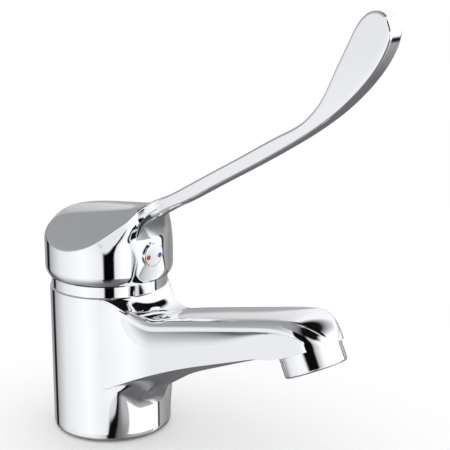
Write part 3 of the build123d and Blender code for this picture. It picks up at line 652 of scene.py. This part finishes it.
def cap_top(x, y, roll):
    """Height of the cap's top: a crowned strip between two facets, rolled over at the wall by roll."""
    turn = math.degrees(math.atan2(x, abs(y) + LEAST_WIDTH))
    behind = 1 - ease(turn, *STRIP_TURNS)
    drop = TOP_CROWN * min(CROWN_LIMIT, (y / FACET_Y) ** 2) * (1 - ease(x, *CROWN_FADES_X))
    strip = crest(x) - drop - TOP_ROUND * roll * behind
    return soft_min(strip, facet(x, y) - TOP_EDGE * roll * roll, CREASE_BLEND)


def cap_edge(i):
    """Height of the top of the cap's wall, at a column: where the wall meets the top."""
    z = EDGE_GUESS
    for _ in range(EDGE_TRIES):
        x, y = cap_point(i, z, CAP_R)
        z = mix(z, cap_top(x, y, 0.0 if in_front(i) else 1.0), EDGE_STEP)
    return z


def cap_sill(i, edge):
    """Height of the row that the blade's window stands on, at a column with its wall's edge."""
    if WEB_COLUMNS <= i <= CAP_FRONT - WEB_COLUMNS:
        return FLAT_TOP
    back = mix(CAP_RIM + CAP_RIM_ROUND, edge, SILL_SHARE)
    if i > CAP_FRONT:
        return back
    return mix(back, FLAT_TOP, ease(min(i, CAP_FRONT - i), -SILL_SPREAD, WEB_COLUMNS))


def edge_across(a, width, size):
    """(place across, drop) on a flat strip with rounded edges."""
    if abs(a) > EDGE_ACROSS:
        inset, drop = corner(1 - 0.5 * (abs(a) - EDGE_ACROSS) / (1 - EDGE_ACROSS), size)
        return math.copysign(width - inset, a), drop
    return (width - size) * a / EDGE_ACROSS, 0.0


def blade_ring(high, low, into_top, into_foot):
    """A ring of the blade, between a place on its top line and one on its foot line."""
    room = ROUND_OF_BLADE * (high - low).length
    top_size = min(mix(TOP_ROOT_ROUND, BLADE_ROUND, ease(high.x, *TOP_ROUND_X)), room)
    foot_size = min(mix(FOOT_ROOT_ROUND, BLADE_ROUND, ease(high.x, *FOOT_ROUND_X)), room)

    def surface(y):
        return soft_min(high.z, facet(high.x, y), CREASE_BLEND) if high.x < FACET_ENDS_X else high.z

    def where(i):
        part, a, j = ring_place(i, FLAT_COLUMNS, BLADE_SIDE)
        if part == "foot":
            y, drop = edge_across(a, web_width(low.x, low.z), foot_size)
            p = low + into_foot * drop
            return p.x, y, p.z
        width = web_width(high.x, high.z)
        if part == "top":
            y, drop = edge_across(a, width, top_size)
            p = Vector((high.x, 0, surface(y))) + into_top * drop
            return p.x, y, p.z
        share = BLADE_SHARES[j]
        top = Vector((high.x, 0, surface(width)))
        inset = 0.0
        if share < EDGE_SHARE:
            inset, drop = corner(0.5 * (1 - share / EDGE_SHARE), foot_size)
            p = low + into_foot * drop
        elif share > 1 - EDGE_SHARE:
            inset, drop = corner(0.5 * (share - 1 + EDGE_SHARE) / EDGE_SHARE, top_size)
            p = top + into_top * drop
        else:
            up = (share - EDGE_SHARE) / (1 - 2 * EDGE_SHARE)
            p = mix(low + into_foot * foot_size, top + into_top * top_size, up)
        return p.x, a * (web_width(p.x, p.z) - inset), p.z
    return where


def blade_rings():
    """Rings along the blade, from matching places of its top and foot lines."""
    both = natural([(*top, *foot) for top, foot in zip(BLADE_TOP, BLADE_FOOT)], BLADE_RINGS)
    slopes = np.gradient(both, axis=0)
    rings = []
    for (tx, tz, fx, fz), (dtx, dtz, dfx, dfz) in zip(both, slopes):
        into_top = Vector((dtz, 0, -dtx)).normalized()
        into_foot = Vector((-dfz, 0, dfx)).normalized()
        rings.append(blade_ring(Vector((tx, 0, tz)), Vector((fx, 0, fz)), into_top, into_foot))
    return rings


def top_rings():
    """Rings over the cap's top, as (scale, roll): round its back edge, and then straight inwards."""
    turns = [k / TOP_ROUND_STEPS * math.pi / 2 for k in range(1, TOP_ROUND_STEPS + 1)]
    rings = [(1 - TOP_ROUND / CAP_R * (1 - math.cos(t)), 1 - math.sin(t)) for t in turns]
    inmost = rings[-1][0]
    return rings + [(inmost * (1 - k / TOP_STEPS), 0.0) for k in range(1, TOP_STEPS)]


def hollow_cap(skin, rows):
    """The cap's hollow underside, with a pad left behind the flat."""
    for z in (CAP_RIM, CAVITY_Z):
        def inner(i):
            angle = cap_angle(i)
            return min(CAVITY_R * math.cos(angle), PAD_X), CAVITY_R * math.sin(angle), z
        rows = skin.grow(rows, inner)
    skin.close(rows)


def build_lever():
    skin = Skin()
    count = CAP_FRONT + CAP_BACK
    edges = [cap_edge(i) for i in range(count)]
    sills = [cap_sill(i, edges[i]) for i in range(count)]

    def rim_row(turn):
        z = CAP_RIM + CAP_RIM_ROUND * turn
        bulge = (CAP_R - CAP_RIM_R) * (1 - (1 - turn) ** 2)
        return lambda i: (*cap_point(i, z, CAP_RIM_R + bulge), z)

    def wall_row(start, stop, share):
        def where(i):
            z = mix(start[i], stop[i], share)
            return (*cap_point(i, z, CAP_R), z)
        return where

    def top_row(scale, roll):
        def where(i):
            x, y = cap_point(i, edges[i], CAP_R)
            return x * scale, y * scale, cap_top(x * scale, y * scale, 0.0 if in_front(i) else roll)
        return where

    rows = rim = skin.place(skin.start(count), rim_row(0))
    for k in range(1, RIM_STEPS + 1):
        rows = skin.grow(rows, rim_row(k / RIM_STEPS))
    lows = [CAP_RIM + CAP_RIM_ROUND] * count
    for k in range(1, WALL_ROWS + 1):
        rows = skin.grow(rows, wall_row(lows, sills, k / WALL_ROWS))
    window = set()
    for share in BLADE_SHARES[1:]:
        before = set(skin.bm.faces)
        rows = skin.grow(rows, wall_row(sills, edges, share))
        fresh = set(skin.bm.faces) - before
        window |= {f for f in fresh
                   if all(WEB_COLUMNS <= v[skin.tag] <= CAP_FRONT - WEB_COLUMNS for v in f.verts)}
    for scale, roll in top_rings():
        rows = skin.grow(rows, top_row(scale, roll))
    skin.close(rows)
    hollow_cap(skin, rim)
    rim = skin.open_window(window, FLAT_COLUMNS)
    root, *rings = blade_rings()
    apart = skin.apart(rim, root)
    for k, ring in enumerate(rings):
        left = 1 - ease(k, -1, BLADE_SETTLES)
        narrower = ring(0)[1] / root(0)[1]

        def settled(i):
            x, y, z = ring(i)
            return x + apart[i].x * left, y + apart[i].y * left * narrower, z + apart[i].z * left
        rim = skin.grow(rim, settled)
    skin.close(rim)
    return skin.finish("lever_cap_and_blade", "handle", ["lever"])


# Finishes
def new_group(name, inputs, outputs):
    """A shader node group with number inputs (name, value) and named number outputs."""
    group = bpy.data.node_groups.new(name, "ShaderNodeTree")
    sides = group.interface
    sides.new_socket("Position", in_out="INPUT", socket_type="NodeSocketVector")
    for label, value in inputs:
        socket = sides.new_socket(label, in_out="INPUT", socket_type="NodeSocketFloat")
        socket.default_value = value
    for label in outputs:
        sides.new_socket(label, in_out="OUTPUT", socket_type="NodeSocketFloat")
    return group, group.nodes.new("NodeGroupInput"), group.nodes.new("NodeGroupOutput")


def join(tree, *links):
    for a, b in links:
        tree.links.new(a, b)


def noise(tree, position, scale, detail, roughness=0.5):
    node = tree.nodes.new("ShaderNodeTexNoise")
    node.inputs["Scale"].default_value = scale
    node.inputs["Detail"].default_value = detail
    node.inputs["Roughness"].default_value = roughness
    tree.links.new(position, node.inputs["Vector"])
    return node


def span(tree, value, ends, to=(0.0, 1.0)):
    """Maps a value from one range to another, with its ends held."""
    node = tree.nodes.new("ShaderNodeMapRange")
    for label, number in zip(("From Min", "From Max", "To Min", "To Max"), (*ends, *to)):
        node.inputs[label].default_value = number
    tree.links.new(value, node.inputs["Value"])
    return node.outputs["Result"]


def mixed(tree, share, one, other):
    """Mixes two colours by a share; each is a tuple or a socket."""
    node = tree.nodes.new("ShaderNodeMix")
    node.data_type = "RGBA"
    tree.links.new(share, node.inputs["Factor"])
    for socket, colour in ((node.inputs["A"], one), (node.inputs["B"], other)):
        if isinstance(colour, tuple):
            socket.default_value = (*colour, 1)
        else:
            tree.links.new(colour, socket)
    return node.outputs["Result"]


def math_node(tree, operation, *values):
    """One step of arithmetic on numbers and sockets."""
    node = tree.nodes.new("ShaderNodeMath")
    node.operation = operation
    for socket, value in zip(node.inputs, values):
        if isinstance(value, (int, float)):
            socket.default_value = value
        else:
            tree.links.new(value, socket)
    return node.outputs[0]


SMEAR_SCALE = 28.0
SMEAR_SEEN = (0.45, 0.75)
SMEAR_SHARE = 0.8
SPOT_SCALE = 160.0
SPOT_EDGE = (0.04, 0.12)
SPOT_SHARE = 0.2
RING_WANDER = 0.4
MOTTLE_SCALE = 60.0
MOTTLE_COLOUR = (0.35, 0.65)
MOTTLE_GLOSS = (0.3, 0.7)
GLOSS_SPREAD = 0.15
RIPPLE_SCALE = 55.0
PLATING_HAZE = 0.97
TURNED_SMEAR = 0.08
TURNED_STAIN = 0.8
TURNED_BUMP = 0.5
GRAIN_BUMP = 0.4


def handling_group():
    """Wiped smears and water spots that a finish carries: a roughness and a faint tint mask."""
    group, at, out = new_group("wiped_surface", [("Roughness", 0.05), ("Smear", 0.03)],
                               ["Roughness", "Haze"])
    position = at.outputs["Position"]
    smear = noise(group, position, SMEAR_SCALE, detail=4.0, roughness=0.6)
    spots = group.nodes.new("ShaderNodeTexVoronoi")
    spots.inputs["Scale"].default_value = SPOT_SCALE
    group.links.new(position, spots.inputs["Vector"])
    dried = span(group, spots.outputs["Distance"], SPOT_EDGE, to=(1.0, 0.0))
    wiped = span(group, smear.outputs["Fac"], SMEAR_SEEN, to=(0.0, SMEAR_SHARE))
    haze = math_node(group, "MULTIPLY_ADD", dried, SPOT_SHARE, wiped)
    rough = math_node(group, "MULTIPLY_ADD", haze, at.outputs["Smear"], at.outputs["Roughness"])
    join(group, (rough, out.inputs["Roughness"]), (haze, out.inputs["Haze"]))
    return group


def turned_group():
    """Fine rings left by a lathe round the Z axis, as a height."""
    group, at, out = new_group("turned_rings", [("Rings", 3000.0)], ["Height"])
    wave = group.nodes.new("ShaderNodeTexWave")
    wave.wave_type = "RINGS"
    wave.rings_direction = "Z"
    wave.inputs["Distortion"].default_value = RING_WANDER
    join(group, (at.outputs["Position"], wave.inputs["Vector"]),
         (at.outputs["Rings"], wave.inputs["Scale"]), (wave.outputs["Fac"], out.inputs["Height"]))
    return group


def grain_group():
    """Fine even grain of moulded plastic, rubber or lapped ceramic: a height and a mottling mask."""
    group, at, out = new_group("fine_grain", [("Scale", 900.0)], ["Height", "Mask"])
    position = at.outputs["Position"]
    coarse = noise(group, position, MOTTLE_SCALE, detail=2.0)
    fine = group.nodes.new("ShaderNodeTexNoise")
    fine.inputs["Detail"].default_value = 2.0
    join(group, (position, fine.inputs["Vector"]), (at.outputs["Scale"], fine.inputs["Scale"]),
         (fine.outputs["Fac"], out.inputs["Height"]), (coarse.outputs["Fac"], out.inputs["Mask"]))
    return group


WIPED = handling_group()
TURNED = turned_group()
GRAIN = grain_group()


def new_material(name, colour, metallic, roughness):
    """A material with its tree, its shader, and its place in the object's own coordinates."""
    material = bpy.data.materials.new(name)
    material.use_nodes = True
    tree = material.node_tree
    shader = tree.nodes["Principled BSDF"]
    shader.inputs["Base Color"].default_value = (*colour, 1)
    shader.inputs["Metallic"].default_value = metallic
    shader.inputs["Roughness"].default_value = roughness
    position = tree.nodes.new("ShaderNodeTexCoord").outputs["Object"]
    return material, tree, shader, position


def use_group(tree, group, position, **values):
    node = tree.nodes.new("ShaderNodeGroup")
    node.node_tree = group
    tree.links.new(position, node.inputs["Position"])
    for label, value in values.items():
        node.inputs[label].default_value = value
    return node


def bump(tree, shader, height, strength, distance):
    node = tree.nodes.new("ShaderNodeBump")
    node.inputs["Strength"].default_value = strength
    node.inputs["Distance"].default_value = distance
    join(tree, (height, node.inputs["Height"]), (node.outputs["Normal"], shader.inputs["Normal"]))


def shaded(colour, share):
    return tuple(c * share for c in colour)


def plated(name, colour, roughness, smear, ripple):
    """Bright plating over a polished casting: wiped smears, and the faint ripple of polishing."""
    material, tree, shader, position = new_material(name, colour, 1.0, roughness)
    wiped = use_group(tree, WIPED, position, Roughness=roughness, Smear=smear)
    hazed = mixed(tree, wiped.outputs["Haze"], colour, shaded(colour, PLATING_HAZE))
    join(tree, (wiped.outputs["Roughness"], shader.inputs["Roughness"]),
         (hazed, shader.inputs["Base Color"]))
    waves = noise(tree, position, RIPPLE_SCALE, detail=1.0)
    bump(tree, shader, waves.outputs["Fac"], 1.0, ripple)
    return material


def turned(name, colour, roughness, rings, depth):
    """Bare machined metal with lathe rings."""
    material, tree, shader, position = new_material(name, colour, 1.0, roughness)
    wiped = use_group(tree, WIPED, position, Roughness=roughness, Smear=TURNED_SMEAR)
    lathe = use_group(tree, TURNED, position, Rings=rings)
    stained = mixed(tree, wiped.outputs["Haze"], colour, shaded(colour, TURNED_STAIN))
    join(tree, (wiped.outputs["Roughness"], shader.inputs["Roughness"]),
         (stained, shader.inputs["Base Color"]))
    bump(tree, shader, lathe.outputs["Height"], TURNED_BUMP, depth)
    return material


def moulded(name, colour, roughness, grain, depth, mottle=0.06):
    """Plastic, rubber, ceramic or paint: a fine grain, and slightly uneven colour and gloss."""
    material, tree, shader, position = new_material(name, colour, 0.0, roughness)
    fine = use_group(tree, GRAIN, position, Scale=grain)
    mask = fine.outputs["Mask"]
    tinted = mixed(tree, span(tree, mask, MOTTLE_COLOUR), colour, shaded(colour, 1 - mottle))
    smoothest = roughness * (1 - GLOSS_SPREAD)
    roughest = min(1.0, roughness * (1 + GLOSS_SPREAD))
    rough = span(tree, mask, MOTTLE_GLOSS, to=(smoothest, roughest))
    join(tree, (tinted, shader.inputs["Base Color"]), (rough, shader.inputs["Roughness"]))
    bump(tree, shader, fine.outputs["Height"], GRAIN_BUMP, depth)
    return material


# Plated: roughness, smear, ripple in metres. Turned: roughness, rings, depth in metres.
# Moulded: roughness, grain, depth in metres, mottle.
FINISHES = {
    "chrome": plated("polished_chrome", (0.90, 0.91, 0.93), 0.035, 0.02, 0.000012),
    "button_chrome": plated("button_chrome", (0.93, 0.935, 0.94), 0.06, 0.03, 0.00001),
    "rubber": moulded("black_rubber", (0.03, 0.03, 0.032), 0.75, 1400.0, 0.00005, 0.2),
    "housing_plastic": moulded("white_housing_plastic", (0.82, 0.83, 0.84), 0.42, 2200.0, 0.00002),
    "rotor_plastic": moulded("grey_rotor_plastic", (0.25, 0.26, 0.28), 0.45, 2200.0, 0.00002, 0.12),
    "grid_plastic": moulded("pale_grid_plastic", (0.75, 0.77, 0.78), 0.38, 2200.0, 0.00002),
    "ceramic": moulded("lapped_ceramic", (0.93, 0.92, 0.89), 0.22, 3000.0, 0.000006, 0.03),
    "steel": turned("turned_steel", (0.55, 0.56, 0.58), 0.28, 2600.0, 0.00002),
    "brass": turned("machined_brass", (0.78, 0.62, 0.33), 0.3, 1900.0, 0.00003),
    "red_paint": moulded("red_mark_paint", (0.6, 0.03, 0.04), 0.3, 1200.0, 0.00001, 0.15),
    "blue_paint": moulded("blue_mark_paint", (0.04, 0.1, 0.55), 0.3, 1200.0, 0.00001, 0.15),
}


def dress(node):
    """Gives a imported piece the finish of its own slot."""
    obj = bpy.data.objects[node]
    for slot in obj.material_slots:
        slot.material = FINISHES[slot.material.name.split(".")[0]]


body_piece = build_body()
lever_piece = build_lever()
for piece in (body_piece, lever_piece):
    piece.data.materials.append(FINISHES["chrome"])
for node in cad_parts:
    dress(node)

# Camera at the photograph's viewing angle
CAMERA_AT = (0.3706, -0.3255, 0.2097)
CAMERA_PITCH = math.radians(76.08)
CAMERA_TURN = math.radians(43.0)
CAMERA_LENS = 96.0
SENSOR = 36.0

camera_data = bpy.data.cameras.new("camera")
camera_data.lens = CAMERA_LENS
camera_data.sensor_width = SENSOR
camera = bpy.data.objects.new("camera", camera_data)
camera.location = CAMERA_AT
camera.rotation_euler = (CAMERA_PITCH, 0, CAMERA_TURN)
bpy.context.scene.collection.objects.link(camera)
bpy.context.scene.camera = camera
bpy.context.scene.view_settings.view_transform = "Standard"

# Studio: what polished metal sees round the room, as (turn in degrees, shade on screen).
# Each layer takes over from the one below it between two heights in degrees.
DEEP = [
    (-180, 0.35), (-150, 0.48), (-110, 0.58), (-60, 0.42), (0, 0.38), (60, 0.44), (130, 0.40),
    (180, 0.35),
]
BELOW = [
    (-180, 0.30), (-168, 0.60), (-150, 0.84), (-110, 0.94), (-80, 0.94), (-58, 0.80), (-53, 0.05),
    (-40, 0.05), (-34, 0.40), (-26, 0.45), (0, 0.70), (30, 0.70), (46.4, 0.66), (47.2, 1.0),
    (52, 1.0), (62, 0.62), (90, 0.42), (130, 0.40), (160, 0.50), (180, 0.30),
]
LEVEL = [
    (-180, 0.10), (-177, 0.10), (-172, 0.66), (-140, 0.90), (-90, 0.99), (-57, 0.93),
    (-53.5, 0.88), (-51.5, 0.02), (-34, 0.02), (-32, 0.90), (-18, 1.0), (57, 1.0), (59, 0.12),
    (62, 0.12), (65, 0.66), (95, 0.55), (130, 0.60), (168, 0.62), (175, 0.10), (180, 0.10),
]
ABOVE = [
    (-180, 0.30), (-172, 0.62), (-140, 0.86), (-90, 0.98), (-50, 0.90), (-25, 1.0), (77, 1.0),
    (79.5, 0.15), (83, 0.15), (86, 0.80), (125, 0.72), (136, 0.62), (145, 0.72), (172, 0.5),
    (180, 0.30),
]
BEHIND_CAMERA = [
    (-180, 0.58), (-150, 0.62), (-110, 0.80), (-84, 0.90), (-80, 0.03), (-41, 0.03), (-34, 0.75),
    (-10, 1.0), (80, 1.0), (125, 0.95), (150, 0.70), (180, 0.58),
]
HIGH = [
    (-180, 0.60), (-90, 0.60), (-60, 0.50), (-40, 0.06), (6, 0.06), (12, 0.90), (21, 0.90),
    (27, 0.06), (118, 0.06), (150, 0.60), (180, 0.60),
]
OVERHEAD = [(-180, 0.55), (180, 0.55)]
LAYERS = [
    (BELOW, -60.0, -30.0), (LEVEL, -25.2, -24.6), (ABOVE, -8.5, -5.5), (BEHIND_CAMERA, 0.0, 4.0),
    (HIGH, 37.0, 43.0), (OVERHEAD, 66.0, 74.0),
]
GLOSS_WHITE = 1.12
COOL_TINT = 1.01
DAYLIGHT = (1.0, 1.0, 1.0)
WHITE = (1.0, 1.0, 1.0)


def linear(shade):
    """A shade as shown on screen, as light, by the sRGB curve."""
    return ((shade + 0.055) / 1.055) ** 2.4 if shade > 0.04 else shade / 12.92


def shade_ramp(tree, turn, stops):
    """A ramp of greys over a full turn."""
    ramp = tree.nodes.new("ShaderNodeValToRGB")
    elements = ramp.color_ramp.elements
    while len(elements) < len(stops):
        elements.new(0.5)
    for element, (angle, shade) in zip(elements, stops):
        element.position = (angle + 180) / 360
        grey = linear(shade) * GLOSS_WHITE
        element.color = (grey, grey, grey * COOL_TINT, 1)
    tree.links.new(turn, ramp.inputs["Fac"])
    return ramp.outputs["Color"]


def build_world():
    """The camera sees plain white, matt surfaces get even light, and gloss sees the studio's walls."""
    world = bpy.data.worlds.new("studio")
    bpy.context.scene.world = world
    world.use_nodes = True
    tree = world.node_tree
    tree.nodes.clear()
    direction = tree.nodes.new("ShaderNodeTexCoord").outputs["Generated"]
    parts = tree.nodes.new("ShaderNodeSeparateXYZ")
    tree.links.new(direction, parts.inputs[0])
    x, y, z = parts.outputs
    turn = math_node(tree, "MULTIPLY_ADD", math_node(tree, "ARCTAN2", y, x), 1 / math.tau, 0.5)
    height = math_node(tree, "ARCSINE", z)
    seen = shade_ramp(tree, turn, DEEP)
    for stops, start, end in LAYERS:
        share = span(tree, height, (math.radians(start), math.radians(end)))
        seen = mixed(tree, share, seen, shade_ramp(tree, turn, stops))
    path = tree.nodes.new("ShaderNodeLightPath")
    lit = mixed(tree, path.outputs["Is Glossy Ray"], DAYLIGHT, seen)
    straight = math_node(tree, "MAXIMUM", path.outputs["Is Camera Ray"],
                         path.outputs["Is Transmission Ray"])
    background = tree.nodes.new("ShaderNodeBackground")
    output = tree.nodes.new("ShaderNodeOutputWorld")
    join(tree, (mixed(tree, straight, lit, WHITE), background.inputs["Color"]),
         (background.outputs[0], output.inputs["Surface"]))


FLOOR_SIZE = 3.0
FLOOR_FADES = (0.18, 0.55)
LAMP_SIZE = 0.9
LAMP_POWER = 0.6
LAMP_AT = (-0.3, -0.5, 1.1)


def build_floor():
    """A pale floor that keeps the tap's shadow and fades into the white far away."""
    bm = bmesh.new()
    bmesh.ops.create_grid(bm, x_segments=1, y_segments=1, size=FLOOR_SIZE)
    mesh = bpy.data.meshes.new("floor")
    bm.to_mesh(mesh)
    bm.free()
    floor = bpy.data.objects.new("floor", mesh)
    bpy.context.scene.collection.objects.link(floor)
    material, tree, shader, position = new_material("pale_floor", WHITE, metallic=0.0, roughness=0.9)
    shader.inputs["Specular IOR Level"].default_value = 0.0
    length = tree.nodes.new("ShaderNodeVectorMath")
    length.operation = "LENGTH"
    tree.links.new(position, length.inputs[0])
    clear = tree.nodes.new("ShaderNodeBsdfTransparent")
    blend = tree.nodes.new("ShaderNodeMixShader")
    path = tree.nodes.new("ShaderNodeLightPath")
    far = span(tree, length.outputs["Value"], FLOOR_FADES)
    faded = math_node(tree, "MAXIMUM", far, path.outputs["Is Glossy Ray"])
    join(tree, (faded, blend.inputs["Fac"]), (shader.outputs[0], blend.inputs[1]),
         (clear.outputs[0], blend.inputs[2]),
         (blend.outputs[0], tree.nodes["Material Output"].inputs["Surface"]))
    mesh.materials.append(material)


def build_lamp():
    """A wide soft lamp overhead, which metal doesn't show."""
    data = bpy.data.lights.new("overhead", "AREA")
    data.shape = "DISK"
    data.size = LAMP_SIZE
    data.energy = LAMP_POWER
    lamp = bpy.data.objects.new("overhead", data)
    lamp.location = LAMP_AT
    lamp.rotation_euler = lamp.location.to_track_quat("Z", "Y").to_euler()
    lamp.visible_glossy = False
    bpy.context.scene.collection.objects.link(lamp)


build_world()
build_floor()
build_lamp()
